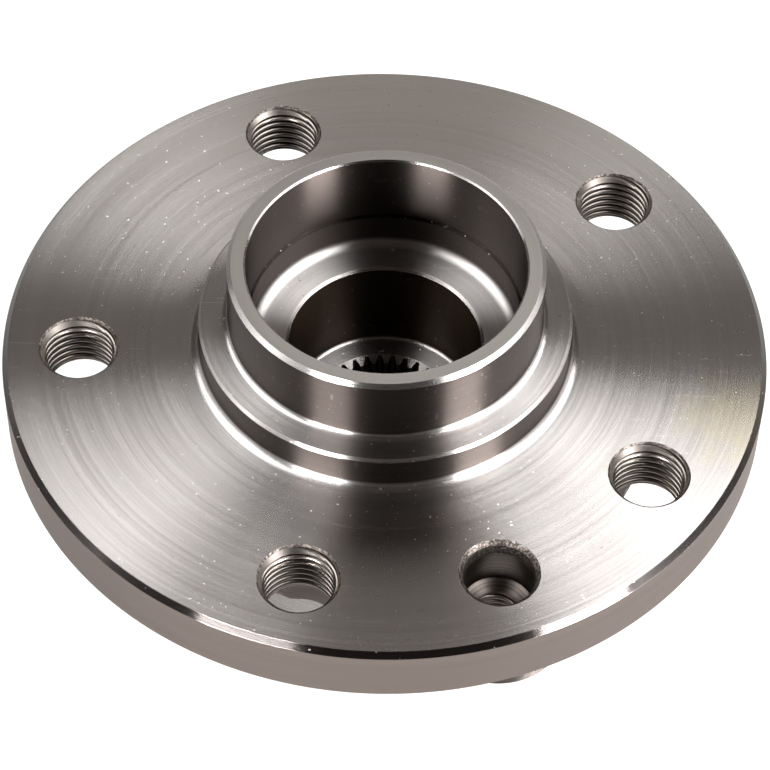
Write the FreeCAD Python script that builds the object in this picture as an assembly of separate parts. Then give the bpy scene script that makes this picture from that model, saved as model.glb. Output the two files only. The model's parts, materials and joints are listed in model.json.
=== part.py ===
import FreeCAD, Part
import math
import os

# Wheel hub with its double-row ball bearing, in millimetres
# Heights are along +Z, measured from the flange's front face, where wheel and brake disc seat

# Flange
rim_wall = 7.0
flange_thickness = 12.0
flange_front_chamfer = 1.0
flange_back_chamfer = 0.6

# Rear boss of the forging, and the lobe round the disc screw's hole
rear_boss_diameter = 100.0
rear_boss_height = 4.5
rear_boss_foot_fillet = 2.0
rear_boss_edge_round = 1.2
lobe_wall = 6.15

# Pilots that centre the brake disc and the wheel
disc_pilot_step = 5.45
disc_pilot_height = 7.2
disc_pilot_foot_fillet = 1.8
disc_pilot_chamfer = 0.5
wheel_pilot_diameter = 57.1
wheel_pilot_height = 20.9
wheel_pilot_foot_fillet = 1.2
wheel_pilot_chamfer = 0.75
pilot_mouth_chamfer = 0.3

# Recesses inside the wheel pilot
pilot_wall = 3.35
rough_bore_step = 0.4
rough_bore_top = 6.0
rough_bore_floor = -0.4
rough_bore_fillet = 2.2
journal_wall = 3.3
bolt_recess_chamfer = 0.5
bolt_recess_depth = 19.8
bolt_recess_fillet = 0.8

# Internal spline for the drive shaft
spline_teeth = 33
spline_root_diameter = 26.6
spline_tooth_depth = 1.1
spline_space_share = 0.52
spline_flank_angle = 30.0
spline_lead_chamfer = 1.3

# Wheel bolt holes, M14 x 1.5, open to the thread's major diameter
bolt_circle_diameter = 112.0
bolt_count = 5
first_bolt_angle = 111.6
bolt_thread_diameter = 14.0
bolt_mouth_chamfer = 0.35

# Hole of the brake disc's screw, M8, counterbored
screw_thread_diameter = 8.0
screw_thread_chamfer = 0.3
screw_counterbore_diameter = 12.7
screw_counterbore_depth = 10.2
screw_mouth_chamfer = 0.8
screw_drill_angle = 120.0

# Bearing
journal_diameter = 42.0
inner_race_wall = 2.6975
outer_race_wall = 2.6975
outer_ring_setback = 1.5
ring_shoulder_gap = 1.0
hub_shoulder_height = 4.6
journal_end_setback = 1.0
journal_end_chamfer = 1.5
journal_root_fillet = 0.6

# Balls and raceways
ball_diameter = 9.525
balls_per_row = 14
row_gap = 5.27
contact_angle = 36.0
race_conformity = 1.04
ball_gap = 0.04
shoulder_depth = 2.3
retaining_depth = 0.7

# Ring corners
ring_corner_chamfer = 1.2
inner_ring_corner_chamfer = 1.0

# Cages
cage_inner_play = 1.1
cage_outer_play = 2.0
cage_ring_reach = 1.2
cage_seal_gap = 0.34
cage_horn_reach = 2.3
cage_pocket_gap = 0.1
cage_slot_share = 0.55
cage_slot_depth = 3.4

# Seals
seal_seat_step = 0.6
seal_seat_depth = 3.8
seal_sheet = 0.6
seal_play = 0.1
case_flange_reach = 3.8
flinger_sheet = 0.5
flinger_edge_gap = 0.4
flinger_recess = 0.2
encoder_thickness = 0.9
encoder_inner_margin = 1.4
encoder_outer_margin = 0.2
lip_body_thickness = 0.7
lip_thickness = 0.7

# Clip that joins the two inner rings
clip_groove_depth = 0.8
clip_hook_depth = 0.7
clip_half_width = 2.2
clip_hook_width = 0.7
clip_play = 0.1
clip_sheet = 0.5
clip_split = 2.5

# How far a cutting shape reaches past the metal that it cuts
cut_margin = 1.0

# Sizes that follow from the ones above
flange_diameter = bolt_circle_diameter + bolt_thread_diameter + 2 * rim_wall
lobe_diameter = screw_counterbore_diameter + 2 * lobe_wall
disc_pilot_diameter = wheel_pilot_diameter + 2 * disc_pilot_step
pilot_bore_diameter = wheel_pilot_diameter - 2 * pilot_wall
rough_bore_diameter = pilot_bore_diameter - 2 * rough_bore_step
bolt_recess_diameter = journal_diameter - 2 * journal_wall
spline_tip_diameter = spline_root_diameter - 2 * spline_tooth_depth
hub_shoulder_diameter = journal_diameter + 2 * hub_shoulder_height
hub_shoulder_fillet = ring_shoulder_gap / 2
shoulder_chamfer = ring_shoulder_gap / 3

# Bearing section, from the journal outwards
ball_radius = ball_diameter / 2
race_radius = ball_radius * race_conformity
inner_race_bottom = journal_diameter / 2 + inner_race_wall
pitch_radius = inner_race_bottom + ball_gap + ball_radius
outer_race_bottom = pitch_radius + ball_radius + ball_gap
ring_outer_diameter = 2 * (outer_race_bottom + outer_race_wall)
land_radius = inner_race_bottom + shoulder_depth
rib_radius = outer_race_bottom - shoulder_depth
inner_low_radius = inner_race_bottom + retaining_depth
outer_low_radius = outer_race_bottom - retaining_depth
seal_seat_radius = outer_low_radius + seal_seat_step
sleeve_radius = seal_seat_radius - seal_sheet
flinger_edge_radius = sleeve_radius - flinger_edge_gap

# Bearing section, from its middle to its ends
row_offset = row_gap / 2 + ball_radius
cage_back = row_offset + ball_radius + cage_ring_reach
seal_seat_start = cage_back + cage_seal_gap
outer_ring_width = 2 * (seal_seat_start + seal_seat_depth)
seal_top = outer_ring_width / 2 - flinger_recess
inner_rings_width = outer_ring_width + 2 * outer_ring_setback

# Places along the axis
boss_face = -flange_thickness - rear_boss_height
bearing_top = boss_face - ring_shoulder_gap
bearing_centre = bearing_top - inner_rings_width / 2
journal_end = bearing_top - inner_rings_width + journal_end_setback
bolt_seat = rough_bore_floor - bolt_recess_depth
screw_angle = first_bolt_angle - 180.0


def polar(radius, angle, height=0.0):
    turn = math.radians(angle)
    return FreeCAD.Vector(radius * math.cos(turn), radius * math.sin(turn), height)


def corner_cuts(before, corner, after, blend):
    # Points where a fillet or chamfer leaves the two straight runs of a corner
    towards_before = (before - corner).normalize()
    towards_after = (after - corner).normalize()
    half_angle = towards_before.getAngle(towards_after) / 2
    reach = abs(blend)
    if blend > 0:
        reach = blend / math.tan(half_angle)
    start = corner + towards_before * reach
    end = corner + towards_after * reach
    bisector = (towards_before + towards_after).normalize()
    centre = corner + bisector * (abs(blend) / math.sin(half_angle))
    middle = centre + (corner - centre).normalize() * abs(blend)
    return start, middle, end


def turned(corners):
    # Solid of revolution from (radius, height, blend) corners
    # A blend above zero is a fillet, below zero a chamfer, and zero leaves the corner sharp
    places = [FreeCAD.Vector(radius, 0, height) for radius, height, _ in corners]
    edges = []
    ends = []
    for index, (_, _, blend) in enumerate(corners):
        corner = places[index]
        if blend == 0:
            ends.append((corner, corner))
            continue
        before = places[index - 1]
        after = places[(index + 1) % len(places)]
        start, middle, end = corner_cuts(before, corner, after, blend)
        ends.append((start, end))
        if blend > 0:
            edges.append(Part.Arc(start, middle, end).toShape())
        else:
            edges.append(Part.LineSegment(start, end).toShape())
    for index, (_, leave) in enumerate(ends):
        arrive = ends[(index + 1) % len(ends)][0]
        if leave.distanceToPoint(arrive) > 1e-6:
            edges.append(Part.LineSegment(leave, arrive).toShape())
    outline = Part.Wire(Part.__sortEdges__(edges))
    spun = Part.Face(outline).revolve(FreeCAD.Vector(0, 0, 0), FreeCAD.Vector(0, 0, 1), 360)
    return tidy(spun)


def tidy(shape):
    # One clean solid with its faces turned outwards
    solid = shape
    if not shape.Solids:
        solid = Part.Solid(shape)
    if len(shape.Solids) == 1:
        solid = shape.Solids[0]
    if solid.Volume < 0:
        solid.reverse()
    return solid


def axial(side, distance):
    # Height of a point in the bearing, from its centre, outboard for side 1 and inboard for -1
    return bearing_centre + side * distance


def turned_in_bearing(side, corners):
    # Corners are (radius, distance from the bearing's centre, blend)
    return turned([(radius, axial(side, distance), blend) for radius, distance, blend in corners])


def spline_spaces(bottom, top):
    # Straight-sided tooth spaces between the tip and root circles, one column for each tooth
    tip_radius = spline_tip_diameter / 2
    root_radius = spline_root_diameter / 2
    pitch = 360.0 / spline_teeth
    depth = root_radius - tip_radius
    root_half = spline_space_share * pitch / 2
    spread = math.degrees(depth * math.tan(math.radians(spline_flank_angle)) / tip_radius)
    mouth_half = root_half + spread / 2
    floor_half = root_half - spread / 2
    inside = tip_radius - depth
    edges = []
    for tooth in range(spline_teeth):
        middle = tooth * pitch
        mouth_start = polar(tip_radius, middle - mouth_half, bottom)
        floor_start = polar(root_radius, middle - floor_half, bottom)
        floor_middle = polar(root_radius, middle, bottom)
        floor_end = polar(root_radius, middle + floor_half, bottom)
        mouth_end = polar(tip_radius, middle + mouth_half, bottom)
        tip_middle = polar(tip_radius, middle + pitch / 2, bottom)
        next_mouth = polar(tip_radius, middle + pitch - mouth_half, bottom)
        edges.append(Part.LineSegment(mouth_start, floor_start).toShape())
        edges.append(Part.Arc(floor_start, floor_middle, floor_end).toShape())
        edges.append(Part.LineSegment(floor_end, mouth_end).toShape())
        edges.append(Part.Arc(mouth_end, tip_middle, next_mouth).toShape())
    outline = Part.Wire(Part.__sortEdges__(edges))
    column = Part.Face(outline).extrude(FreeCAD.Vector(0, 0, top - bottom))
    core = Part.makeCylinder(inside, top - bottom, FreeCAD.Vector(0, 0, bottom))
    return tidy(column), core


def hub_blank():
    # Turned outline of the hub, from the spline's rear end round the pilots to the journal
    back = -flange_thickness
    spline_tip = spline_tip_diameter / 2
    pilot_bore_foot = rough_bore_top + rough_bore_step
    return turned([
        (spline_tip, journal_end, -spline_lead_chamfer),
        (spline_tip, bolt_seat, -spline_lead_chamfer),
        (bolt_recess_diameter / 2, bolt_seat, bolt_recess_fillet),
        (bolt_recess_diameter / 2, rough_bore_floor, -bolt_recess_chamfer),
        (rough_bore_diameter / 2, rough_bore_floor, rough_bore_fillet),
        (rough_bore_diameter / 2, rough_bore_top, 0),
        (pilot_bore_diameter / 2, pilot_bore_foot, 0),
        (pilot_bore_diameter / 2, wheel_pilot_height, -pilot_mouth_chamfer),
        (wheel_pilot_diameter / 2, wheel_pilot_height, -wheel_pilot_chamfer),
        (wheel_pilot_diameter / 2, disc_pilot_height, wheel_pilot_foot_fillet),
        (disc_pilot_diameter / 2, disc_pilot_height, -disc_pilot_chamfer),
        (disc_pilot_diameter / 2, 0, disc_pilot_foot_fillet),
        (flange_diameter / 2, 0, -flange_front_chamfer),
        (flange_diameter / 2, back, -flange_back_chamfer),
        (rear_boss_diameter / 2, back, rear_boss_foot_fillet),
        (rear_boss_diameter / 2, boss_face, rear_boss_edge_round),
        (hub_shoulder_diameter / 2, boss_face, hub_shoulder_fillet),
        (hub_shoulder_diameter / 2, bearing_top, -shoulder_chamfer),
        (journal_diameter / 2, bearing_top, journal_root_fillet),
        (journal_diameter / 2, journal_end, -journal_end_chamfer),
    ])


def screw_lobe():
    # Round lobe of the forging that gives the disc screw its length of thread
    inside = -flange_thickness / 2
    lobe = turned([
        (0, boss_face, 0),
        (lobe_diameter / 2, boss_face, rear_boss_edge_round),
        (lobe_diameter / 2, inside, 0),
        (0, inside, 0),
    ])
    lobe.translate(polar(bolt_circle_diameter / 2, screw_angle))
    return lobe


def bolt_hole(angle):
    # One wheel bolt hole with a chamfer at both mouths
    radius = bolt_thread_diameter / 2
    back = -flange_thickness
    deep = boss_face - cut_margin
    hole = turned([
        (0, cut_margin, 0),
        (radius + bolt_mouth_chamfer + cut_margin, cut_margin, 0),
        (radius, -bolt_mouth_chamfer, 0),
        (radius, back + bolt_mouth_chamfer, 0),
        (radius + bolt_mouth_chamfer, back, 0),
        (radius + bolt_mouth_chamfer, deep, 0),
        (0, deep, 0),
    ])
    hole.translate(polar(bolt_circle_diameter / 2, angle))
    return hole


def screw_hole():
    # Counterbore, drill cone and threaded hole of the brake disc's screw
    mouth = screw_counterbore_diameter / 2
    thread = screw_thread_diameter / 2
    entry = thread + screw_thread_chamfer
    cone = (mouth - entry) / math.tan(math.radians(screw_drill_angle / 2))
    step = -screw_counterbore_depth - cone
    deep = boss_face - cut_margin
    hole = turned([
        (0, cut_margin, 0),
        (mouth + screw_mouth_chamfer + cut_margin, cut_margin, 0),
        (mouth, -screw_mouth_chamfer, 0),
        (mouth, -screw_counterbore_depth, 0),
        (entry, step, 0),
        (thread, step - screw_thread_chamfer, 0),
        (thread, deep, 0),
        (0, deep, 0),
    ])
    hole.translate(polar(bolt_circle_diameter / 2, screw_angle))
    return hole


def make_hub():
    hub = hub_blank().fuse(screw_lobe())
    for bolt in range(bolt_count):
        hub = hub.cut(bolt_hole(first_bolt_angle - bolt * 360.0 / bolt_count))
    hub = hub.cut(screw_hole())
    spaces, core = spline_spaces(journal_end - cut_margin, bolt_seat + spline_lead_chamfer / 2)
    hub = hub.cut(spaces.cut(core))
    return tidy(hub.removeSplitter())


def race_torus(side, inner):
    # Groove whose centre is set back from the ball along the line of contact
    setback = race_radius - ball_radius - ball_gap
    lean = math.radians(contact_angle)
    reach = setback * math.cos(lean)
    shift = setback * math.sin(lean)
    if inner:
        centre_radius = pitch_radius + reach
        centre_distance = row_offset - shift
    else:
        centre_radius = pitch_radius - reach
        centre_distance = row_offset + shift
    place = FreeCAD.Vector(0, 0, axial(side, centre_distance))
    return Part.makeTorus(centre_radius, race_radius, place)


def make_inner_ring(side):
    bore = journal_diameter / 2
    end = inner_rings_width / 2
    groove = bore + clip_groove_depth
    hook = groove + clip_hook_depth
    ring = turned_in_bearing(side, [
        (groove, 0, 0),
        (inner_low_radius, 0, -shoulder_chamfer),
        (inner_low_radius, row_offset, 0),
        (land_radius, row_offset, 0),
        (land_radius, end, -inner_ring_corner_chamfer / 2),
        (bore, end, -inner_ring_corner_chamfer),
        (bore, clip_half_width, 0),
        (hook, clip_half_width, 0),
        (hook, clip_half_width - clip_hook_width, 0),
        (groove, clip_half_width - clip_hook_width, 0),
    ])
    return tidy(ring.cut(race_torus(side, True)))


def make_outer_ring():
    outside = ring_outer_diameter / 2
    half = outer_ring_width / 2
    corners = [
        (outside, axial(1, half), -ring_corner_chamfer),
        (outside, axial(-1, half), -ring_corner_chamfer),
        (seal_seat_radius, axial(-1, half), 0),
        (seal_seat_radius, axial(-1, seal_seat_start), 0),
        (outer_low_radius, axial(-1, seal_seat_start), 0),
        (outer_low_radius, axial(-1, row_offset), 0),
        (rib_radius, axial(-1, row_offset), 0),
        (rib_radius, axial(1, row_offset), 0),
        (outer_low_radius, axial(1, row_offset), 0),
        (outer_low_radius, axial(1, seal_seat_start), 0),
        (seal_seat_radius, axial(1, seal_seat_start), 0),
        (seal_seat_radius, axial(1, half), 0),
    ]
    ring = turned(corners)
    for side in (1, -1):
        ring = ring.cut(race_torus(side, False))
    return tidy(ring)


def make_clip():
    # Split spring-steel band with hooked edges, in the bores of both inner rings
    inside = journal_diameter / 2 + clip_play
    outside = inside + clip_sheet
    hook = journal_diameter / 2 + clip_groove_depth + clip_hook_depth - clip_play
    far = clip_half_width - clip_play
    near = clip_half_width - clip_hook_width + clip_play
    band = turned_in_bearing(1, [
        (inside, -far, 0),
        (hook, -far, 0),
        (hook, -near, 0),
        (outside, -near, 0),
        (outside, near, 0),
        (hook, near, 0),
        (hook, far, 0),
        (inside, far, 0),
    ])
    gap = Part.makeBox(journal_diameter, clip_split, 4 * clip_half_width)
    gap.translate(FreeCAD.Vector(0, -clip_split / 2, axial(1, -2 * clip_half_width)))
    return tidy(band.cut(gap))


def ball_angle(side, index):
    # The inboard row sits half a pitch round from the outboard row
    pitch = 360.0 / balls_per_row
    if side == 1:
        return index * pitch
    return (index + 0.5) * pitch


def make_ball(side, index):
    centre = polar(pitch_radius, ball_angle(side, index), axial(side, row_offset))
    return Part.makeSphere(ball_radius, centre)


def make_cage(side):
    # Crown cage: a ring on the seal's side and horns that snap round each ball
    inside = land_radius + cage_inner_play
    outside = outer_low_radius - cage_outer_play
    front = row_offset - cage_horn_reach
    cage = turned_in_bearing(side, [
        (inside, front, 0),
        (outside, front, 0),
        (outside, cage_back, -cage_ring_reach / 4),
        (inside, cage_back, -cage_ring_reach / 4),
    ])
    pitch = 360.0 / balls_per_row
    web = 2 * pitch_radius * math.sin(math.radians(pitch / 2)) - ball_diameter - 2 * cage_pocket_gap
    slot_width = web * cage_slot_share
    cut_start = inside - cut_margin
    cut_length = outside - inside + 2 * cut_margin
    slot_bottom = axial(side, front - cut_margin)
    if side == -1:
        slot_bottom = axial(side, front + cage_slot_depth)
    cuts = []
    for index in range(balls_per_row):
        turn = ball_angle(side, index)
        start = polar(cut_start, turn, axial(side, row_offset))
        pocket = Part.makeCylinder(ball_radius + cage_pocket_gap, cut_length, start, polar(1, turn))
        cuts.append(pocket)
        slot = Part.makeBox(cut_length, slot_width, cage_slot_depth + cut_margin)
        slot.translate(FreeCAD.Vector(cut_start, -slot_width / 2, slot_bottom))
        slot.rotate(FreeCAD.Vector(0, 0, 0), FreeCAD.Vector(0, 0, 1), turn + pitch / 2)
        cuts.append(slot)
    return tidy(cage.cut(cuts))


def flinger_inner_face(encoder):
    # Distance from the bearing's centre to the face that the lips run on
    return seal_top - encoder - flinger_sheet


def make_seal_case(side):
    # Pressed steel insert: a sleeve in the outer ring's seat and a flange towards the shaft
    return turned_in_bearing(side, [
        (seal_seat_radius, seal_seat_start, 0),
        (seal_seat_radius, seal_top, 0),
        (sleeve_radius, seal_top, 0),
        (sleeve_radius, seal_seat_start + seal_sheet, 0),
        (sleeve_radius - case_flange_reach, seal_seat_start + seal_sheet, 0),
        (sleeve_radius - case_flange_reach, seal_seat_start, 0),
    ])


def make_seal_lip(side, encoder):
    # Rubber moulded on the insert, with a grease lip, a dust lip and a side lip on the flinger
    root = seal_seat_start + seal_sheet
    body = root + lip_body_thickness
    face = flinger_inner_face(encoder) - seal_play
    sleeve = land_radius + flinger_sheet + seal_play
    inner = sleeve_radius - case_flange_reach
    outer = sleeve_radius
    neck = (sleeve + inner) / 2
    side_root = (inner + outer) / 2
    side_tip = side_root + (face - body) / 2
    return turned_in_bearing(side, [
        (inner, root, 0),
        (outer, root, 0),
        (outer, body, 0),
        (side_root + lip_thickness, body, 0),
        (side_tip + lip_thickness / 3, face, 0),
        (side_tip, face, 0),
        (side_root, body, 0),
        (neck + lip_thickness, body, 0),
        (sleeve + lip_thickness / 3, face - seal_play, 0),
        (sleeve, face - 2 * seal_play, 0),
        (neck, root, 0),
        (sleeve, seal_seat_start + seal_play, 0),
        (sleeve + lip_thickness / 3, seal_seat_start, 0),
        (inner, seal_seat_start + seal_play, 0),
    ])


def make_flinger(side, encoder):
    # Stainless angle ring pressed on the inner ring's land
    face = flinger_inner_face(encoder)
    inside = land_radius
    outside = inside + flinger_sheet
    return turned_in_bearing(side, [
        (inside, seal_seat_start, 0),
        (outside, seal_seat_start, 0),
        (outside, face, 0),
        (flinger_edge_radius, face, 0),
        (flinger_edge_radius, face + flinger_sheet, 0),
        (inside, face + flinger_sheet, 0),
    ])


def make_encoder(side):
    # Magnetised rubber ring bonded to the inboard flinger, read by the wheel speed sensor
    face = flinger_inner_face(encoder_thickness) + flinger_sheet
    inside = land_radius + encoder_inner_margin
    outside = flinger_edge_radius - encoder_outer_margin
    return turned_in_bearing(side, [
        (inside, face, 0),
        (outside, face, 0),
        (outside, face + encoder_thickness, -encoder_thickness / 4),
        (inside, face + encoder_thickness, -encoder_thickness / 4),
    ])


def export(shape, name):
    shape.exportStep("parts/" + name + ".step")
    print(name, "valid", shape.isValid(), "solids", len(shape.Solids), "volume", round(shape.Volume, 2))


def main():
    os.makedirs("parts", exist_ok=True)
    export(make_hub(), "hub")
    export(make_outer_ring(), "outer_ring")
    export(make_clip(), "inner_ring_clip")
    export(make_encoder(-1), "encoder_ring")
    for side, end, encoder in ((1, "outboard", 0.0), (-1, "inboard", encoder_thickness)):
        export(make_inner_ring(side), "inner_ring_" + end)
        export(make_cage(side), "cage_" + end)
        export(make_seal_case(side), "seal_case_" + end)
        export(make_seal_lip(side, encoder), "seal_lip_" + end)
        export(make_flinger(side, encoder), "flinger_" + end)
        for index in range(balls_per_row):
            export(make_ball(side, index), "ball_" + end + "_" + str(index + 1).zfill(2))


main()
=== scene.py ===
# %% [markdown]
# A wheel hub is turned from a steel forging and pressed into a sealed double-row ball bearing.
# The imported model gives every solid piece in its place, in metres, with +Z along the hub's axis.
# Here it gets its finishes, its cut threads, a floor, soft studio lamps and the photograph's camera.

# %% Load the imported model
import bmesh
import bpy
import json
import math
from mathutils import Matrix, Vector


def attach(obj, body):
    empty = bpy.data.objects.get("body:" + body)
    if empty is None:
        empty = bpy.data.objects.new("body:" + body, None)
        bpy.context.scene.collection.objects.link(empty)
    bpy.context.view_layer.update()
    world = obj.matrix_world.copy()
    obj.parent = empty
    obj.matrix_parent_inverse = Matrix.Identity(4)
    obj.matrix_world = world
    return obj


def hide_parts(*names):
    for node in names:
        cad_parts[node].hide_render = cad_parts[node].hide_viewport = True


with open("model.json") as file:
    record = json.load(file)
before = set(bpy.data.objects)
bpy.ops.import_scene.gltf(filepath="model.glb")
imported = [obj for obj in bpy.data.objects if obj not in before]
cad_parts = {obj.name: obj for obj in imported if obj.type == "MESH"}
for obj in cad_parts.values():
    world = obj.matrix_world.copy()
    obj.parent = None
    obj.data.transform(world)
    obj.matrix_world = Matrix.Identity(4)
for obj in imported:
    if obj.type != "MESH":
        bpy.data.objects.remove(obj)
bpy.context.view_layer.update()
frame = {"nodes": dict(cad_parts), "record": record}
nodes_by_name = frame["nodes"]

# %% [markdown]
# All sizes are in metres, so a size in millimetres is multiplied by one small number.
# The sizes below repeat the ones that the hub was drawn with, because the threads must fit its holes.

# %% Sizes that the threads and the lamps need
mm = 0.001
bolt_circle_radius = 56.0 * mm
first_bolt_angle = 111.6
bolt_count = 5
bolt_angles = [first_bolt_angle - index * 360.0 / bolt_count for index in range(bolt_count)]
screw_angle = first_bolt_angle - 180.0
flange_back = -12.0 * mm
boss_back = -16.5 * mm
bolt_wall = 7.0 * mm
bolt_mouth = 7.35 * mm
screw_wall = 4.0 * mm
screw_mouth = 4.3 * mm
screw_thread_top = -11.38 * mm
bearing_foot = -55.5 * mm
spline_teeth = 33
print("bolt circle", 2000 * bolt_circle_radius, "mm")

# %% [markdown]
# The photograph was taken from in front and above, with a long lens from about half a metre.
# The place and the lens were solved from the five bolt holes and the rim of the flange.
# A camera looks along its own -Z, so its matrix has right, up and backwards as columns.

# %% Camera
elevation = math.radians(50.60609)
roll = math.radians(1.21793)
camera_place = Vector((0.178, -347.864, 410.356)) * mm
forward = Vector((0.0, math.cos(elevation), -math.sin(elevation)))
level_right = Vector((1.0, 0.0, 0.0))
level_up = Vector((0.0, math.sin(elevation), math.cos(elevation)))
right = level_right * math.cos(roll) + level_up * math.sin(roll)
up = level_up * math.cos(roll) - level_right * math.sin(roll)
sensor_width = 36.0
picture_width = 770.0
focal_length_in_pixels = 2932.149
lens = bpy.data.cameras.new("camera")
lens.sensor_width = sensor_width
lens.lens = sensor_width * focal_length_in_pixels / picture_width
lens.clip_start = 0.01
lens.clip_end = 20.0
camera = bpy.data.objects.new("camera", lens)
bpy.context.scene.collection.objects.link(camera)
turn = Matrix((right, up, -forward)).transposed().to_4x4()
camera.matrix_world = Matrix.Translation(camera_place) @ turn
bpy.context.scene.camera = camera
bpy.context.scene.view_settings.view_transform = "Standard"
print("lens", round(lens.lens, 2), "mm, distance", round(camera_place.length, 3), "m")

# %% [markdown]
# Nodes are easier to read when each is made by a short call that takes numbers or other nodes' sockets.
# These helpers make the maths, the noise and the mixes that all the finishes below are built from.

# %% Helpers for shader nodes
def plug(tree, socket, value):
    if isinstance(value, bpy.types.NodeSocket):
        tree.links.new(value, socket)
    else:
        socket.default_value = value


def maths(tree, operation, *values):
    node = tree.nodes.new("ShaderNodeMath")
    node.operation = operation
    for socket, value in zip(node.inputs, values):
        plug(tree, socket, value)
    return node.outputs[0]


def times(tree, first, second):
    return maths(tree, "MULTIPLY", first, second)


def ramp(tree, value, low, high):
    # Rises smoothly from 0 at low to 1 at high, or falls where low is above high
    node = tree.nodes.new("ShaderNodeMapRange")
    node.interpolation_type = "SMOOTHSTEP"
    plug(tree, node.inputs["Value"], value)
    plug(tree, node.inputs["From Min"], min(low, high))
    plug(tree, node.inputs["From Max"], max(low, high))
    plug(tree, node.inputs["To Min"], 0.0 if low < high else 1.0)
    plug(tree, node.inputs["To Max"], 1.0 if low < high else 0.0)
    return node.outputs["Result"]


def between(tree, value, low, high, soft):
    # One between low and high and zero outside, with soft edges
    rise = ramp(tree, value, low - soft, low + soft)
    fall = ramp(tree, value, high + soft, high - soft)
    return times(tree, rise, fall)


def blend(tree, factor, first, second):
    # The first colour where the factor is zero, and the second where it is one
    node = tree.nodes.new("ShaderNodeMix")
    node.data_type = "RGBA"
    plug(tree, node.inputs[0], factor)
    for socket, value in ((node.inputs[6], first), (node.inputs[7], second)):
        if not isinstance(value, bpy.types.NodeSocket):
            value = (*value, 1.0)
        plug(tree, socket, value)
    return node.outputs[2]


def noise(tree, vector, scale, detail=2.0, rough=0.5):
    node = tree.nodes.new("ShaderNodeTexNoise")
    plug(tree, node.inputs["Vector"], vector)
    plug(tree, node.inputs["Scale"], scale)
    node.inputs["Detail"].default_value = detail
    node.inputs["Roughness"].default_value = rough
    return node.outputs["Fac"]


def combine(tree, x, y, z):
    node = tree.nodes.new("ShaderNodeCombineXYZ")
    for socket, value in zip(node.inputs, (x, y, z)):
        plug(tree, socket, value)
    return node.outputs[0]


def coordinates(tree):
    # Object coordinates with the radius from the hub's axis and the height
    place = tree.nodes.new("ShaderNodeTexCoord").outputs["Object"]
    parts = tree.nodes.new("ShaderNodeSeparateXYZ")
    tree.links.new(place, parts.inputs[0])
    x, y, z = parts.outputs
    square = maths(tree, "ADD", times(tree, x, x), times(tree, y, y))
    radius = maths(tree, "SQRT", square)
    return place, x, y, z, radius


def zone(tree, z, heights, radius, radii):
    # Grows from 0 to 1 between two heights and between two radii, all in millimetres
    high = ramp(tree, z, heights[0] * mm, heights[1] * mm)
    wide = ramp(tree, radius, radii[0] * mm, radii[1] * mm)
    return times(tree, high, wide)


def new_group(name, inputs, outputs):
    tree = bpy.data.node_groups.new(name, "ShaderNodeTree")
    for label, value in inputs:
        socket = tree.interface.new_socket(label, in_out="INPUT", socket_type="NodeSocketFloat")
        socket.default_value = value
    for label in outputs:
        tree.interface.new_socket(label, in_out="OUTPUT", socket_type="NodeSocketFloat")
    start = tree.nodes.new("NodeGroupInput")
    end = tree.nodes.new("NodeGroupOutput")
    return tree, start.outputs, end.inputs


def use_group(tree, group, **values):
    node = tree.nodes.new("ShaderNodeGroup")
    node.node_tree = group
    for label, value in values.items():
        plug(tree, node.inputs[label], value)
    return node.outputs


def new_finish(name):
    material = bpy.data.materials.new(name)
    material.use_nodes = True
    return material, material.node_tree, material.node_tree.nodes["Principled BSDF"]


def set_relief(tree, shader, height, depth, strength):
    # The height goes from 0 to 1 and the depth is in metres
    bump = tree.nodes.new("ShaderNodeBump")
    bump.inputs["Distance"].default_value = depth
    bump.inputs["Strength"].default_value = strength
    tree.links.new(height, bump.inputs["Height"])
    tree.links.new(bump.outputs[0], shader.inputs["Normal"])


def spread_across_rings(tree, shader, amount):
    # The tangent runs round the Z axis, and a quarter turn points the spread outwards
    round_axis = tree.nodes.new("ShaderNodeTangent")
    round_axis.direction_type = "RADIAL"
    round_axis.axis = "Z"
    tree.links.new(round_axis.outputs[0], shader.inputs["Tangent"])
    shader.inputs["Anisotropic"].default_value = amount
    shader.inputs["Anisotropic Rotation"].default_value = 0.25


print("a millimetre is", mm, "metres in the helpers")

# %% [markdown]
# A lathe tool leaves fine rings, on a face as circles and on a wall as a very fine screw.
# Noise along the radius and the height gives rings of uneven depth. The unit vector round the axis,
# scaled by a small number, makes each ring change a little on its way round and meet itself again.
# One group serves every turned and ground surface, each with its own spacing of the rings.

# %% Group: turning marks
turning_marks, given, made = new_group(
    "turning_marks", (("Spacing", 0.25), ("Wander", 0.6)), ("Fine", "Broad"))
tree = turning_marks
place, x, y, z, radius = coordinates(tree)
safe_radius = maths(tree, "MAXIMUM", radius, 1e-5)
round_x = times(tree, maths(tree, "DIVIDE", x, safe_radius), given["Wander"])
round_y = times(tree, maths(tree, "DIVIDE", y, safe_radius), given["Wander"])
across = maths(tree, "ADD", radius, times(tree, z, 1.37))
across_mm = times(tree, across, 1000.0)
fine_place = maths(tree, "DIVIDE", across_mm, given["Spacing"])
tree.links.new(noise(tree, combine(tree, round_x, round_y, fine_place), 1.0, 2.0), made["Fine"])
broad_spacing = 2.3
broad_place = maths(tree, "DIVIDE", across_mm, broad_spacing)
tree.links.new(noise(tree, combine(tree, round_x, round_y, broad_place), 1.0, 3.0), made["Broad"])
print("turning marks:", [socket.name for socket in made if socket.name])

# %% [markdown]
# Handling leaves thin straight scratches, small dark specks and soft smudges of oil and dust.
# A scratch is noise stretched very long in one direction and cut so that only its peaks are left.
# Three directions with different seeds look random, and a slower noise breaks them into short runs.

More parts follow.
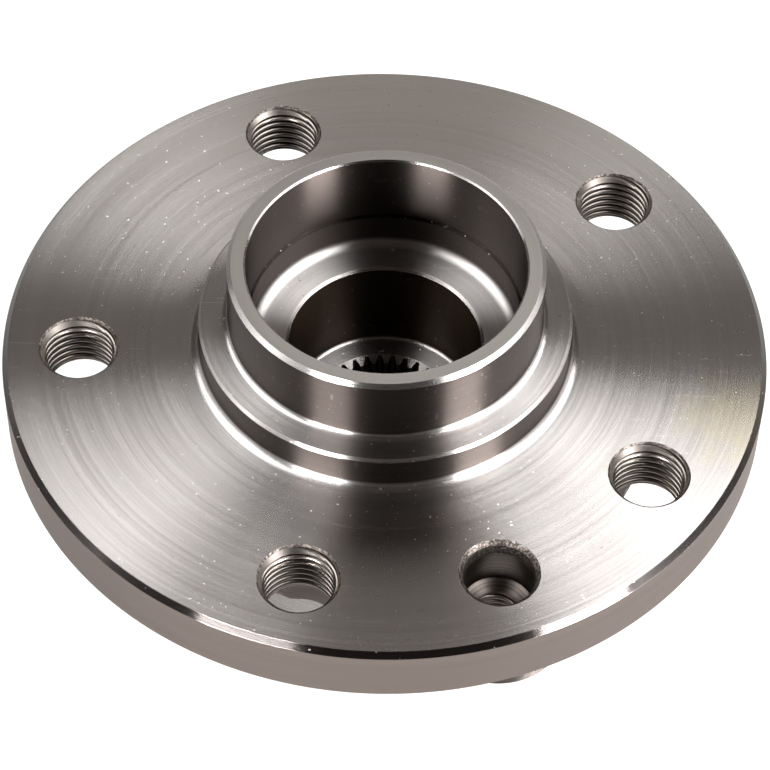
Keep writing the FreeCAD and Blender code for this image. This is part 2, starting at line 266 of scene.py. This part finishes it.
# %% Group: handling wear
handling_wear, given, made = new_group(
    "handling_wear", (("Scratches", 0.5), ("Specks", 0.5)), ("Scratch", "Speck", "Smudge"))
tree = handling_wear
place, x, y, z, radius = coordinates(tree)
scratch_total = 0.0
for angle, long_scale, seed in ((24.0, 26.0, 0.0), (103.0, 34.0, 3.7), (151.0, 21.0, 8.1)):
    mapping = tree.nodes.new("ShaderNodeMapping")
    tree.links.new(place, mapping.inputs["Vector"])
    mapping.inputs["Rotation"].default_value = (0.3, 0.2, math.radians(angle))
    mapping.inputs["Location"].default_value = (seed, seed, seed)
    mapping.inputs["Scale"].default_value = (long_scale, 2600.0, 300.0)
    streak = ramp(tree, noise(tree, mapping.outputs[0], 1.0, 1.0), 0.71, 0.76)
    runs = ramp(tree, noise(tree, place, 95.0 + 20.0 * seed, 1.0), 0.52, 0.62)
    scratch_total = maths(tree, "MAXIMUM", times(tree, streak, runs), scratch_total)
tree.links.new(times(tree, scratch_total, given["Scratches"]), made["Scratch"])
grain = noise(tree, place, 1500.0, 2.0)
patches = ramp(tree, noise(tree, place, 60.0, 2.0), 0.35, 0.75)
speck = times(tree, ramp(tree, grain, 0.69, 0.74), patches)
tree.links.new(times(tree, speck, given["Specks"]), made["Speck"])
tree.links.new(noise(tree, place, 42.0, 3.0, 0.6), made["Smudge"])
print("handling wear:", [socket.name for socket in made if socket.name])

# %% [markdown]
# The hub is bare turned steel. Light on it spreads across the rings of the lathe and not along them,
# which makes the bright fans on the flange. The shader's own anisotropy does this.
# Places that look different are found by their radius and height: the front chamfer, the rough foot
# of the pilot's bore, the bolt recess and the forged skin behind. The normal's height finds walls.
# Shade is painted on the walls, in the bore and the recess, under the bore's step and on the front
# chamfer.

# %% Turned hub steel: where each look belongs
hub_steel, tree, shader = new_finish("turned_hub_steel")
place, x, y, z, radius = coordinates(tree)
marks = use_group(tree, turning_marks, Spacing=0.45, Wander=0.7)
wear = use_group(tree, handling_wear, Scratches=0.8, Specks=0.9)
facing = tree.nodes.new("ShaderNodeSeparateXYZ")
tree.links.new(tree.nodes.new("ShaderNodeTexCoord").outputs["Normal"], facing.inputs[0])
wall = ramp(tree, maths(tree, "ABSOLUTE", facing.outputs[2]), 0.75, 0.25)
on_face = maths(tree, "MULTIPLY_ADD", wall, -0.9, 1.0)
recess = zone(tree, z, (-0.3, -0.9), radius, (18.3, 18.0))
bore = zone(tree, z, (-0.5, 0.5), radius, (26.3, 26.0))
pilot_end = zone(tree, z, (19.9, 20.2), radius, (29.0, 28.6))
edge_chamfer = zone(tree, z, (-1.1, -0.9), radius, (68.9, 69.1))
forged = zone(tree, z, (-12.05, -12.25), radius, (25.7, 25.9))
foot_height = between(tree, z, -0.5 * mm, 6.2 * mm, 0.2 * mm)
rough_foot = times(tree, foot_height, ramp(tree, radius, 25.4 * mm, 25.2 * mm))
step_height = between(tree, z, 5.9 * mm, 6.5 * mm, 0.15 * mm)
foot_step = times(tree, step_height, ramp(tree, radius, 25.6 * mm, 25.3 * mm))
flange_edge = between(tree, radius, 66.5 * mm, 69.2 * mm, 1.2 * mm)
flange_edge = times(tree, flange_edge, ramp(tree, z, -1.2 * mm, -0.8 * mm))
knocked_edges = maths(tree, "MAXIMUM", flange_edge, pilot_end)
print("nodes that find the places:", len(tree.nodes))

# %% [markdown]
# Colour comes in layers: rings and smudges first, then a yellow oil stain at the right, painted shade
# on the walls, in the bore, in the recess and under the bore's step, the forged skin, and last specks,
# scratches, nicked edges, painted shade on the front chamfer, and bright dust.

# %% Turned hub steel: colour
rings = maths(tree, "MULTIPLY_ADD", marks["Broad"], 0.7, -0.2)
rings = maths(tree, "MULTIPLY_ADD", marks["Fine"], 0.7, rings)
steel = blend(tree, rings, (0.44, 0.413, 0.40), (0.66, 0.636, 0.624))
steel = blend(tree, times(tree, wear["Smudge"], 0.35), steel, (0.50, 0.465, 0.44))
from_stain = tree.nodes.new("ShaderNodeVectorMath")
from_stain.operation = "DISTANCE"
tree.links.new(place, from_stain.inputs[0])
from_stain.inputs[1].default_value = (64.0 * mm, -17.0 * mm, 0)
stain_outline = times(tree, noise(tree, place, 160.0, 4.0, 0.6), 16.0 * mm)
oil = maths(tree, "ADD", from_stain.outputs["Value"], stain_outline)
oil = times(tree, ramp(tree, oil, 22.0 * mm, 12.0 * mm), 0.5)
steel = blend(tree, oil, steel, (0.60, 0.53, 0.36))
# Painted shade: the walls are painted nearly black, with the fine turning marks still varying it
painted_wall_shade = blend(tree, marks["Fine"], (0.034, 0.028, 0.0255), (0.055, 0.0455, 0.0415))
steel = blend(tree, wall, steel, painted_wall_shade)
# Painted shade: the walls of the pilot's bore are painted dark
steel = blend(tree, times(tree, bore, wall), steel, (0.066, 0.054, 0.049))
# Painted shade: the walls of the recess are painted nearly black
steel = blend(tree, times(tree, recess, wall), steel, (0.03, 0.02, 0.014))
# Painted shade: the band under the bore's step is painted nearly black
steel = blend(tree, foot_step, steel, (0.02, 0.016, 0.014))
forging_grain = noise(tree, place, 700.0, 4.0, 0.65)
skin = blend(tree, forging_grain, (0.08, 0.068, 0.061), (0.155, 0.132, 0.12))
steel = blend(tree, forged, steel, skin)
steel = blend(tree, wear["Speck"], steel, (0.16, 0.14, 0.12))
scratch = times(tree, wear["Scratch"], on_face)
steel = blend(tree, times(tree, scratch, 0.5), steel, (0.72, 0.70, 0.68))
nicks = ramp(tree, noise(tree, place, 900.0, 3.0, 0.7), 0.69, 0.75)
steel = blend(tree, times(tree, nicks, knocked_edges), steel, (0.78, 0.75, 0.73))
# Painted shade: the front chamfer's colour is made darker
steel = blend(tree, times(tree, edge_chamfer, 0.75), steel, (0.10, 0.082, 0.078))
dust = ramp(tree, noise(tree, place, 1250.0, 1.0), 0.735, 0.775)
dust = times(tree, dust, on_face)
steel = blend(tree, dust, steel, (0.74, 0.72, 0.69))
tree.links.new(steel, shader.inputs["Base Color"])
print("nodes with the colour:", len(tree.nodes))

# %% Turned hub steel: gloss, relief and spread of light
polish = maths(tree, "MULTIPLY_ADD", marks["Fine"], 0.05, 0.237)
polish = maths(tree, "ADD", polish, maths(tree, "MULTIPLY_ADD", marks["Broad"], 0.03, -0.015))
polish = times(tree, polish, maths(tree, "MULTIPLY_ADD", wall, 0.6, 1.0))
polish = times(tree, polish, maths(tree, "MULTIPLY_ADD", edge_chamfer, -0.45, 1.0))
for dull_place, amount in ((forged, 0.20), (dust, 0.3), (rough_foot, 0.05)):
    polish = maths(tree, "ADD", polish, times(tree, dull_place, amount))
tree.links.new(polish, shader.inputs["Roughness"])
bare_metal = maths(tree, "SUBTRACT", 1.0, times(tree, forged, 0.1))
tree.links.new(bare_metal, shader.inputs["Metallic"])
forged_relief = times(tree, forging_grain, times(tree, forged, 14.0))
relief = maths(tree, "ADD", times(tree, marks["Broad"], 0.25), forged_relief)
relief = maths(tree, "SUBTRACT", relief, times(tree, scratch, 0.4))
set_relief(tree, shader, relief, 0.01 * mm, 0.6)
spread_across_rings(tree, shader, 1.0)
print("nodes of the hub's steel:", len(tree.nodes))

# %% [markdown]
# The bearing's parts have simpler finishes: ground rings, polished balls, a black moulded cage,
# pressed seal cases, bright flingers and matt rubber. One helper makes the bare metals, each with its
# own colour, gloss, ring spacing and spread of light, and another makes the rubber and the plastic.

# %% Finishes of the bearing's parts
def ground_metal(name, dark, light, gloss, spacing, depth, spread):
    material, tree, shader = new_finish(name)
    marks = use_group(tree, turning_marks, Spacing=spacing, Wander=0.5)
    wear = use_group(tree, handling_wear, Scratches=0.5, Specks=0.4)
    colour = blend(tree, marks["Broad"], dark, light)
    colour = blend(tree, times(tree, wear["Smudge"], 0.25), colour, dark)
    colour = blend(tree, wear["Speck"], colour, tuple(0.4 * part for part in dark))
    tree.links.new(colour, shader.inputs["Base Color"])
    tree.links.new(maths(tree, "MULTIPLY_ADD", marks["Fine"], 0.1, gloss), shader.inputs["Roughness"])
    relief = maths(tree, "SUBTRACT", marks["Fine"], wear["Scratch"])
    set_relief(tree, shader, relief, depth, 0.5)
    shader.inputs["Metallic"].default_value = 1.0
    if spread:
        spread_across_rings(tree, shader, spread)
    return material


def moulded(name, dark, light, gloss, grain_scale, depth):
    material, tree, shader = new_finish(name)
    place = tree.nodes.new("ShaderNodeTexCoord").outputs["Object"]
    wear = use_group(tree, handling_wear, Scratches=0.2, Specks=0.2)
    grain = noise(tree, place, grain_scale, 3.0, 0.6)
    colour = blend(tree, grain, dark, light)
    colour = blend(tree, times(tree, wear["Smudge"], 0.3), colour, light)
    tree.links.new(colour, shader.inputs["Base Color"])
    tree.links.new(maths(tree, "MULTIPLY_ADD", grain, 0.12, gloss), shader.inputs["Roughness"])
    set_relief(tree, shader, grain, depth, 0.5)
    return material


finishes = {
    "turned_hub_steel": hub_steel,
    "ground_ring_steel": ground_metal("ground_ring_steel", (0.38, 0.36, 0.345), (0.47, 0.45, 0.435),
                                      0.22, 0.12, 0.004 * mm, 0.6),
    "polished_ball_steel": ground_metal("polished_ball_steel", (0.74, 0.74, 0.74), (0.78, 0.78, 0.78),
                                        0.04, 0.5, 0.0002 * mm, 0.0),
    "seal_sheet_steel": ground_metal("seal_sheet_steel", (0.36, 0.36, 0.35), (0.44, 0.44, 0.43),
                                     0.34, 0.3, 0.004 * mm, 0.3),
    "flinger_stainless": ground_metal("flinger_stainless", (0.52, 0.52, 0.51), (0.62, 0.615, 0.61),
                                      0.24, 0.22, 0.004 * mm, 0.6),
    "spring_steel": ground_metal("spring_steel", (0.24, 0.25, 0.27), (0.34, 0.35, 0.37),
                                 0.3, 0.2, 0.003 * mm, 0.4),
    "cage_polyamide": moulded("cage_polyamide", (0.012, 0.012, 0.012), (0.03, 0.03, 0.029),
                              0.42, 900.0, 0.01 * mm),
    "seal_rubber": moulded("seal_rubber", (0.009, 0.009, 0.009), (0.02, 0.02, 0.019),
                           0.5, 1400.0, 0.008 * mm),
    "encoder_rubber": moulded("encoder_rubber", (0.014, 0.013, 0.012), (0.028, 0.026, 0.024),
                              0.36, 1100.0, 0.006 * mm),
}
for part in frame["record"]["subparts"]:
    node = nodes_by_name[part["node"]]
    for slot in node.material_slots:
        slot.material = finishes[part["material_slot"]]
print("finishes:", len(finishes))

# %% [markdown]
# The hub is what everybody looks at, so it is turned again here from the same drawing, with finer steps
# and clean normals. A circle gets one vertex for each corner of the section, and its vertices are moved
# to their corners. A vertex bevel makes the fillets and chamfers, and the Screw modifier turns the
# outline round the axis. The drills and the disc screw's lobe are turned in the same way, and are
# added or cut with the Boolean modifier. Corners are (radius, height, blend) in millimetres.

# %% Helpers for turned pieces
def deselect():
    if bpy.context.object and bpy.context.object.mode != "OBJECT":
        bpy.ops.object.mode_set(mode="OBJECT")
    bpy.ops.object.select_all(action="DESELECT")


def pick(piece):
    deselect()
    piece.select_set(True)
    bpy.context.view_layer.objects.active = piece


def blend_corner(piece, radius, height, size):
    # A fillet where size is above zero and a chamfer where it is below
    bpy.ops.mesh.select_all(action="DESELECT")
    outline = bmesh.from_edit_mesh(piece.data)
    corner = Vector((radius, 0, height))
    nearest = min(outline.verts, key=lambda vertex: (vertex.co - corner).length)
    nearest.select_set(True)
    outline.select_flush_mode()
    bmesh.update_edit_mesh(piece.data)
    bpy.ops.mesh.bevel(offset=abs(size), segments=7 if size > 0 else 1, profile=0.5, affect="VERTICES")


weld_distance = 1e-7


def turned_piece(name, corners, steps):
    deselect()
    bpy.ops.mesh.primitive_circle_add(vertices=len(corners), radius=0.01, fill_type="NGON")
    piece = bpy.context.object
    piece.name = name
    for vertex, (radius, height, size) in zip(piece.data.vertices, corners):
        vertex.co = (radius * mm, 0, height * mm)
    bpy.ops.object.mode_set(mode="EDIT")
    bpy.ops.mesh.select_mode(type="VERT")
    for radius, height, size in corners:
        if size:
            blend_corner(piece, radius * mm, height * mm, size * mm)
    bpy.ops.mesh.select_all(action="SELECT")
    bpy.ops.mesh.delete(type="ONLY_FACE")
    bpy.ops.object.mode_set(mode="OBJECT")
    turning = piece.modifiers.new("turning", "SCREW")
    turning.axis = "Z"
    turning.steps = turning.render_steps = steps
    turning.use_merge_vertices = True
    turning.merge_threshold = weld_distance
    bpy.ops.object.modifier_apply(modifier="turning")
    bpy.ops.object.mode_set(mode="EDIT")
    bpy.ops.mesh.select_all(action="SELECT")
    bpy.ops.mesh.remove_doubles(threshold=weld_distance)
    bpy.ops.mesh.delete_loose()
    bpy.ops.mesh.select_all(action="SELECT")
    bpy.ops.mesh.normals_make_consistent(inside=False)
    bpy.ops.object.mode_set(mode="OBJECT")
    return piece


def join_with(piece, other, operation):
    pick(piece)
    modifier = piece.modifiers.new("join", "BOOLEAN")
    modifier.operation = operation
    modifier.solver = "EXACT"
    modifier.object = other
    bpy.ops.object.modifier_apply(modifier="join")
    bpy.data.objects.remove(other, do_unlink=True)


def on_bolt_circle(angle):
    turn = math.radians(angle)
    return Vector((bolt_circle_radius * math.cos(turn), bolt_circle_radius * math.sin(turn), 0))


def smooth_piece(piece):
    # Smooth shading with flat faces kept flat next to their fillets
    pick(piece)
    bpy.ops.object.shade_smooth_by_angle(angle=math.radians(30.0))
    weighted = piece.modifiers.new("weighted", "WEIGHTED_NORMAL")
    weighted.keep_sharp = True
    bpy.ops.object.modifier_apply(modifier="weighted")


print("ready to turn, to join and to smooth")

# %% The turned hub
hub_piece = turned_piece("turned_hub", (
    (12.2, -54.5, -1.3), (12.2, -20.2, -1.3), (17.7, -20.2, 0.8), (17.7, -0.4, -0.5),
    (24.8, -0.4, 2.2), (24.8, 6.0, 0), (25.2, 6.4, 0), (25.2, 20.9, -0.3),
    (28.55, 20.9, -0.75), (28.55, 7.2, 1.2), (34.0, 7.2, -0.5), (34.0, 0, 1.8),
    (70.0, 0, -1.0), (70.0, -12.0, -0.6), (50.0, -12.0, 2.0), (50.0, -16.5, 1.2),
    (25.6, -16.5, 0.5), (25.6, -17.5, -0.33), (21.0, -17.5, 0.6), (21.0, -54.5, -1.5),
), 288)
print("turned outline:", len(hub_piece.data.vertices), "vertices")
lobe = turned_piece("lobe", ((0, -16.5, 0), (12.5, -16.5, 1.2), (12.5, -6, 0), (0, -6, 0)), 96)
lobe.location = on_bolt_circle(screw_angle)
join_with(hub_piece, lobe, "UNION")
for angle in bolt_angles:
    drill = turned_piece("drill", (
        (0, 1, 0), (8.35, 1, 0), (7.0, -0.35, 0), (7.0, -11.65, 0), (7.35, -12, 0),
        (7.35, -17.5, 0), (0, -17.5, 0)), 96)
    drill.location = on_bolt_circle(angle)
    join_with(hub_piece, drill, "DIFFERENCE")
drill = turned_piece("drill", (
    (0, 1, 0), (8.15, 1, 0), (6.35, -0.8, 0), (6.35, -10.2, 0), (4.3, -11.384, 0),
    (4.0, -11.684, 0), (4.0, -17.5, 0), (0, -17.5, 0)), 96)
drill.location = on_bolt_circle(screw_angle)
join_with(hub_piece, drill, "DIFFERENCE")
print("drilled hub:", len(hub_piece.data.polygons), "faces")

# %% [markdown]
# The spline has 33 straight-sided teeth. A broach is a circle of four vertices for each tooth, of which
# two are pushed out to the spline's floor and two stay just inside the bore's wall.

# %% The broached spline
deselect()
inner_radius = 12.1 * mm
floor_radius = 13.3 * mm
broach_length = 35.95 * mm
bpy.ops.mesh.primitive_circle_add(vertices=4 * spline_teeth, radius=inner_radius, fill_type="NGON",
                                  location=(0, 0, bearing_foot))
broach = bpy.context.object
for vertex in broach.data.vertices:
    vertex.select = vertex.index % 4 in (1, 2)
for line in broach.data.edges:
    line.select = all(broach.data.vertices[index].select for index in line.vertices)
for face in broach.data.polygons:
    face.select = False
bpy.ops.object.mode_set(mode="EDIT")
bpy.ops.mesh.select_mode(type="VERT")
stretch = floor_radius / inner_radius
bpy.ops.transform.resize(value=(stretch, stretch, 1))
bpy.ops.mesh.select_all(action="SELECT")
bpy.ops.mesh.extrude_region_move(TRANSFORM_OT_translate={"value": (0, 0, broach_length)})
bpy.ops.mesh.select_all(action="SELECT")
bpy.ops.mesh.normals_make_consistent(inside=False)
bpy.ops.object.mode_set(mode="OBJECT")
join_with(hub_piece, broach, "DIFFERENCE")
smooth_piece(hub_piece)
print("finished hub:", len(hub_piece.data.polygons), "faces, box",
      [round(1000 * side, 2) for side in hub_piece.dimensions])

# %% [markdown]
# The turned faces and walls get the turned steel in the first slot. The walls of the holes were
# drilled, so their marks don't run round the hub: a darker drilled steel with ragged mouths and painted
# shade deep in the holes is the second slot. The flange's rim and the end of the pilot are duller and
# get the third and fourth.

# %% Drilled steel, and the dull steels of the rim and of the pilot's end
drilled_steel, tree, shader = new_finish("drilled_steel")
place, x, y, z, radius = coordinates(tree)
wear = use_group(tree, handling_wear, Scratches=0.3, Specks=0.6)
rings = noise(tree, combine(tree, 0.0, 0.0, times(tree, z, 3600.0)), 1.0, 2.0)
colour = blend(tree, ramp(tree, rings, 0.3, 0.7), (0.085, 0.07, 0.062), (0.25, 0.22, 0.20))
# Painted shade: the colour is darker deeper in the holes
painted_hole_shade = times(tree, ramp(tree, z, -8.0 * mm, -9.5 * mm), 0.45)
colour = blend(tree, painted_hole_shade, colour, (0.05, 0.041, 0.036))
mouth = ramp(tree, z, -3.6 * mm, -2.8 * mm)
torn = noise(tree, place, 2300.0, 2.0)
ragged = times(tree, ramp(tree, torn, 0.62, 0.42), mouth)
colour = blend(tree, ragged, colour, (0.045, 0.038, 0.034))
tree.links.new(blend(tree, wear["Speck"], colour, (0.12, 0.10, 0.09)), shader.inputs["Base Color"])
roughness = maths(tree, "MULTIPLY_ADD", rings, 0.14, 0.26)
tree.links.new(maths(tree, "MULTIPLY_ADD", mouth, 0.14, roughness), shader.inputs["Roughness"])
set_relief(tree, shader, rings, 0.01 * mm, 0.5)
shader.inputs["Metallic"].default_value = 1.0
rim_steel = ground_metal("rim_steel", (0.175, 0.145, 0.132), (0.225, 0.19, 0.172),
                         0.42, 0.3, 0.006 * mm, 0.0)
faced_steel = ground_metal("faced_steel", (0.22, 0.205, 0.19), (0.36, 0.34, 0.32),
                           0.48, 0.35, 0.012 * mm, 0.0)
print("drilled steel nodes:", len(tree.nodes))

# %% Finishes on the hub's faces
turned_slot, drilled_slot, rim_slot, end_slot = range(4)
hub_piece.data.materials.clear()
for finish in (hub_steel, drilled_steel, rim_steel, faced_steel):
    hub_piece.data.materials.append(finish)
hole_places = [on_bolt_circle(angle) for angle in (*bolt_angles, screw_angle)]
hole_reach = 8.2 * mm
for face in hub_piece.data.polygons:
    steepness = abs(face.normal.z)
    height = face.center.z
    flat = Vector((face.center.x, face.center.y, 0))
    near_hole = min((flat - hole).length for hole in hole_places) < hole_reach
    face.material_index = turned_slot
    if near_hole and steepness < 0.99 and height > -16.4 * mm:
        face.material_index = drilled_slot
    if flat.length > 69.3 * mm and steepness < 0.6:
        face.material_index = rim_slot
    if flat.length < 28.5 * mm and height > 20.8 * mm:
        face.material_index = end_slot
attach(hub_piece, "rotating_hub")
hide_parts("hub")
chosen = [face.material_index for face in hub_piece.data.polygons]
print("faces in each slot:", [chosen.count(slot) for slot in range(4)])

# %% [markdown]
# The wheel bolts' holes have M14 x 1.5 threads, and the disc screw's hole has an M8 thread.
# A thread is one ridge that climbs round the wall, so a flat plane is narrowed to the ridge's section
# and the Screw modifier winds it. Cones at both mouths then cut the first turns back, as the tap's
# countersink does on the real flange. The ridge starts just inside the wall, so no gap shows.

# %% Helpers for threads
def make_cone(tip_height, wide_height, reach):
    # A 45 degree cone whose tip is at tip_height, used only to cut
    middle = (tip_height + wide_height) / 2
    low_radius, high_radius = (0.0, reach) if wide_height > tip_height else (reach, 0.0)
    bpy.ops.mesh.primitive_cone_add(vertices=128, radius1=low_radius, radius2=high_radius,
                                    depth=abs(wide_height - tip_height), location=(0, 0, middle))
    return bpy.context.object


def make_thread(name, wall, crest, pitch, top, bottom, mouth):
    deselect()
    embed = 0.03 * mm
    foot_width = 0.94 * pitch
    crest_share = 0.2
    height = wall + embed - crest
    bpy.ops.mesh.primitive_plane_add(size=1.0, location=(0, 0, 0), rotation=(math.pi / 2, 0, 0))
    ridge = bpy.context.object
    ridge.name = name
    ridge.scale = (height, foot_width, 1.0)
    ridge.location = (crest + height / 2, 0, bottom - pitch)
    bpy.ops.object.transform_apply(location=True, rotation=True, scale=True)
    for vertex in ridge.data.vertices:
        vertex.select = vertex.co.x < wall - height / 2
    for line in ridge.data.edges:
        line.select = all(ridge.data.vertices[index].select for index in line.vertices)
    for face in ridge.data.polygons:
        face.select = False
    bpy.ops.object.mode_set(mode="EDIT")
    bpy.ops.mesh.select_mode(type="VERT")
    bpy.ops.transform.resize(value=(1, 1, crest_share))
    bpy.ops.mesh.select_all(action="SELECT")
    bpy.ops.mesh.delete(type="ONLY_FACE")
    bpy.ops.object.mode_set(mode="OBJECT")
    screw = ridge.modifiers.new("wind", "SCREW")
    screw.axis = "Z"
    screw.screw_offset = pitch
    screw.iterations = math.ceil((top - bottom) / pitch) + 2
    screw.steps = screw.render_steps = 48
    bpy.ops.object.modifier_apply(modifier="wind")
    bpy.ops.object.mode_set(mode="EDIT")
    bpy.ops.mesh.select_all(action="SELECT")
    bpy.ops.mesh.remove_doubles(threshold=1e-6)
    bpy.ops.mesh.fill_holes(sides=8)
    bpy.ops.mesh.normals_make_consistent(inside=False)
    bpy.ops.object.mode_set(mode="OBJECT")
    deselect()
    beyond = 4 * pitch
    join_with(ridge, make_cone(top - mouth, top + beyond, mouth + beyond), "DIFFERENCE")
    join_with(ridge, make_cone(bottom + mouth, bottom - beyond, mouth + beyond), "DIFFERENCE")
    return ridge


def set_in_hub(piece, angle):
    # Moves the mesh, and not the object, to its hole on the bolt circle
    piece.location = on_bolt_circle(angle)
    pick(piece)
    bpy.ops.object.transform_apply(location=True, rotation=True, scale=True)


def dress(piece, finish, body):
    piece.data.materials.clear()
    piece.data.materials.append(finish)
    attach(piece, body)


print("ready to cut threads")

# %% The six threads
thread_steel, tree, shader = new_finish("cut_thread_steel")
wear = use_group(tree, handling_wear, Scratches=0.3, Specks=0.6)
colour = blend(tree, wear["Smudge"], (0.22, 0.19, 0.17), (0.33, 0.30, 0.275))
tree.links.new(blend(tree, wear["Speck"], colour, (0.12, 0.10, 0.09)), shader.inputs["Base Color"])
tree.links.new(maths(tree, "MULTIPLY_ADD", wear["Smudge"], 0.2, 0.2), shader.inputs["Roughness"])
shader.inputs["Metallic"].default_value = 1.0

pattern = make_thread("wheel_bolt_thread_1", bolt_wall, 6.19 * mm, 1.5 * mm,
                      0.0, flange_back, bolt_mouth)
bolt_threads = [pattern]
for index in range(1, bolt_count):
    copy = pattern.copy()
    copy.data = pattern.data.copy()
    copy.name = "wheel_bolt_thread_" + str(index + 1)
    bpy.context.scene.collection.objects.link(copy)
    bolt_threads.append(copy)
for piece, angle in zip(bolt_threads, bolt_angles):
    set_in_hub(piece, angle)
    dress(piece, thread_steel, "rotating_hub")
screw_thread = make_thread("disc_screw_thread", screw_wall, 3.32 * mm, 1.25 * mm,
                           screw_thread_top, boss_back, screw_mouth)
set_in_hub(screw_thread, screw_angle)
dress(screw_thread, thread_steel, "rotating_hub")
print("threads:", len(bolt_threads) + 1, "with", len(pattern.data.polygons), "faces each")

# %% [markdown]
# The part stands on its bearing on a plain pale floor. The floor glows to look white to the camera,
# and less in reflections, where a shadow is painted into the glow within 0.1 to 0.3 m of the axis,
# and its plain diffuse share keeps the object's soft shadow.

# %% Floor
deselect()
bpy.ops.mesh.primitive_plane_add(size=6.0, location=(0, 0, bearing_foot))
floor = bpy.context.object
floor.name = "floor"
floor_finish = bpy.data.materials.new("floor_white")
floor_finish.use_nodes = True
tree = floor_finish.node_tree
tree.nodes.clear()
output = tree.nodes.new("ShaderNodeOutputMaterial")
rays = tree.nodes.new("ShaderNodeLightPath")
seen = maths(tree, "MAXIMUM", rays.outputs["Is Glossy Ray"], rays.outputs["Is Transmission Ray"])
place, x, y, z, radius = coordinates(tree)
# Painted shadow: reflections see the floor's glow dimmer near the part
beyond_painted_shadow = ramp(tree, radius, 0.10, 0.30)
reflected = times(tree, seen, maths(tree, "MULTIPLY_ADD", beyond_painted_shadow, 0.20, 0.20))
direct = times(tree, rays.outputs["Is Camera Ray"], 0.86)
glow = tree.nodes.new("ShaderNodeEmission")
tree.links.new(maths(tree, "MAXIMUM", reflected, direct), glow.inputs["Strength"])
matt = tree.nodes.new("ShaderNodeBsdfDiffuse")
matt.inputs["Color"].default_value = (0.24, 0.235, 0.23, 1)
total = tree.nodes.new("ShaderNodeAddShader")
tree.links.new(glow.outputs[0], total.inputs[0])
tree.links.new(matt.outputs[0], total.inputs[1])
tree.links.new(total.outputs[0], output.inputs["Surface"])
floor.data.materials.append(floor_finish)
print("floor at", bearing_foot, "m")

# %% [markdown]
# The room is dark and a little warm. The camera sees it white. Only reflections see a pale strip
# that leans over the part from behind and a dim horizon there, which grey the back of the flange.

# %% World
world = bpy.data.worlds.new("studio")
bpy.context.scene.world = world
world.use_nodes = True
tree = world.node_tree
background = tree.nodes["Background"]
rays = tree.nodes.new("ShaderNodeLightPath")
direction = tree.nodes.new("ShaderNodeSeparateXYZ")
tree.links.new(tree.nodes.new("ShaderNodeTexCoord").outputs["Generated"], direction.inputs[0])
side, back, rise = direction.outputs
horizon = times(tree, ramp(tree, back, 0.0, 0.5), 0.37)
horizon = times(tree, ramp(tree, rise, 0.22, 0.04), horizon)
strip = ramp(tree, maths(tree, "ABSOLUTE", side), 0.34, 0.14)
strip = times(tree, strip, ramp(tree, rise, 0.797, 0.655))
strip = times(tree, strip, ramp(tree, back, 0.2, 0.4))
pale = maths(tree, "MAXIMUM", horizon, strip)
mirrored = maths(tree, "MAXIMUM", rays.outputs["Is Glossy Ray"], rays.outputs["Is Transmission Ray"])
room = blend(tree, times(tree, mirrored, pale), (0.036, 0.029, 0.0265), (1.0, 0.945, 0.885))
backdrop = blend(tree, rays.outputs["Is Camera Ray"], room, (1.0, 1.0, 1.0))
tree.links.new(backdrop, background.inputs["Color"])
background.inputs["Strength"].default_value = 1.0
print("world nodes:", len(tree.nodes))

# %% [markdown]
# Two wide dim panels stand left and right of the part, half way up. Their light meets the rings of
# the lathe at four places round the flange, which gives the four bright fans, and nothing hangs
# straight above or in front, which leaves the dark ones between. Two small strong lamps stand low in
# front. They draw the narrow bright bands down the walls and along the front chamfer.

# %% Lamps
lamp_distance = 0.6


def soft_box(name, direction, width, height, power):
    lamp = bpy.data.lights.new(name, "AREA")
    lamp.shape = "RECTANGLE"
    lamp.size = width
    lamp.size_y = height
    lamp.energy = power
    box = bpy.data.objects.new(name, lamp)
    bpy.context.scene.collection.objects.link(box)
    aim = Vector(direction).normalized()
    box.location = aim * lamp_distance
    box.rotation_euler = aim.to_track_quat("Z", "Y").to_euler()


soft_box("panel_right", (0.6545, 0.062, 0.7525), 0.62, 0.46, 5.7)
soft_box("panel_left", (-0.6545, 0.085, 0.7525), 0.50, 0.46, 3.2)
soft_box("lamp_right", (0.743, -0.646, 0.174), 0.23, 0.147, 9.5)
soft_box("lamp_left", (-0.507, -0.844, 0.174), 0.24, 0.147, 7.6)
print("lamps:", len(bpy.data.lights), "at", lamp_distance, "m")
